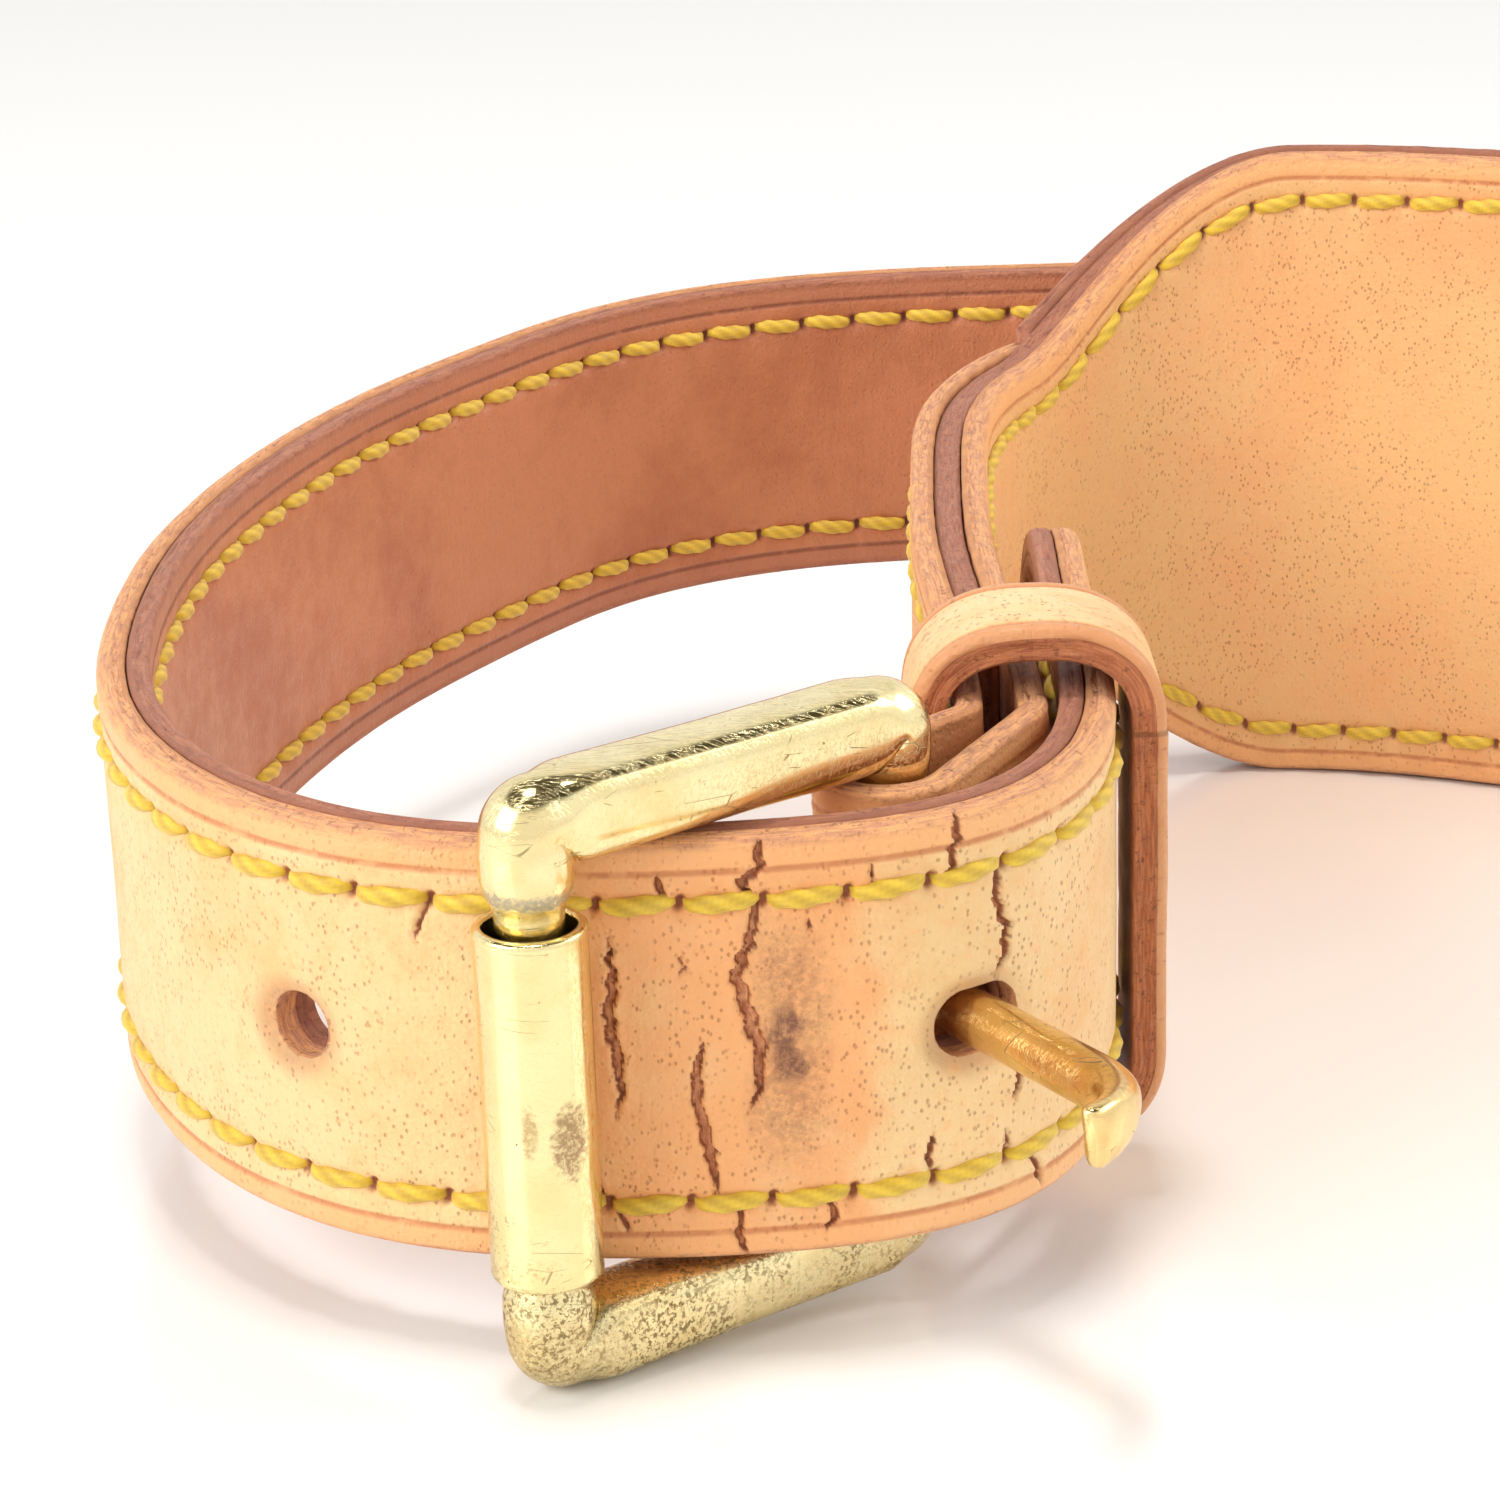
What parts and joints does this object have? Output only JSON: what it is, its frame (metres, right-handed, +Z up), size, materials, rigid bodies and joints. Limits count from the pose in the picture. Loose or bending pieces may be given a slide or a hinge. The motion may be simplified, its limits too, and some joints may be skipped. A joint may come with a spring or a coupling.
{
  "type": "leather strap collar",
  "caption": "Stitched leather collar with a wide panel, a pointed billet, a keeper and a brass roller buckle, standing on its edge.",
  "frame": {"origin": "middle of the whole collar in plan, on the surface that it stands on", "axes": "+Z up; +X along the collar's longest side, from the buckle's end towards the wide panel; -Y towards the buckle and its prong"},
  "size_m": [0.1626, 0.1494, 0.0532],
  "materials": {
    "face_leather": "natural vegetable-tan, dry and cracked",
    "lining_leather": "smooth, burnished by wear",
    "filler_leather": "raw cut edge",
    "keeper_leather": "creased, with a dark burnished edge",
    "thread": "twisted waxed thread",
    "frame_brass": "polished, scratched and tarnished in the corners",
    "roller_brass": "polished, with a worn brown patch",
    "prong_brass": "darker, bright at the worn end"
  },
  "bodies": {
    "strap": {"panel_face": "face_leather", "panel_filler": "filler_leather", "panel_lining": "lining_leather", "chape": "face_leather", "billet_face": "face_leather", "billet_lining": "lining_leather", "panel_upper_stitches": "thread", "panel_lower_stitches": "thread", "billet_upper_stitches": "thread", "billet_lower_stitches": "thread", "billet_tip_stitches": "thread", "splice_stitches": "thread", "chape_stitches": "thread"},
    "keeper": {"keeper_band": "keeper_leather", "keeper_stitches": "thread"},
    "buckle": {"buckle_frame": "frame_brass"},
    "roller": {"roller": "roller_brass"},
    "prong": {"prong": "prong_brass"}
  },
  "joints": [
    {"name": "buckle_swing", "type": "hinge", "parent": "strap", "child": "buckle", "pos_m": [-0.03258, -0.05038, 0.01913], "axis": [-0.0232, -0.056, 0.9982], "range_deg": [0, 60]},
    {"name": "roller_spin", "type": "hinge", "parent": "buckle", "child": "roller", "pos_m": [-0.05207, -0.06467, 0.01788], "axis": [-0.0232, -0.056, 0.9982], "continuous": true},
    {"name": "prong_swing", "type": "hinge", "parent": "strap", "child": "prong", "pos_m": [-0.03258, -0.05038, 0.01913], "axis": [-0.0232, -0.056, 0.9982], "range_deg": [-5, 5]},
    {"name": "keeper_slide", "type": "slide", "parent": "strap", "child": "keeper", "axis": [-0.0006, 0.9984, 0.056], "range_m": [-0.0005, 0.002]}
  ]
}
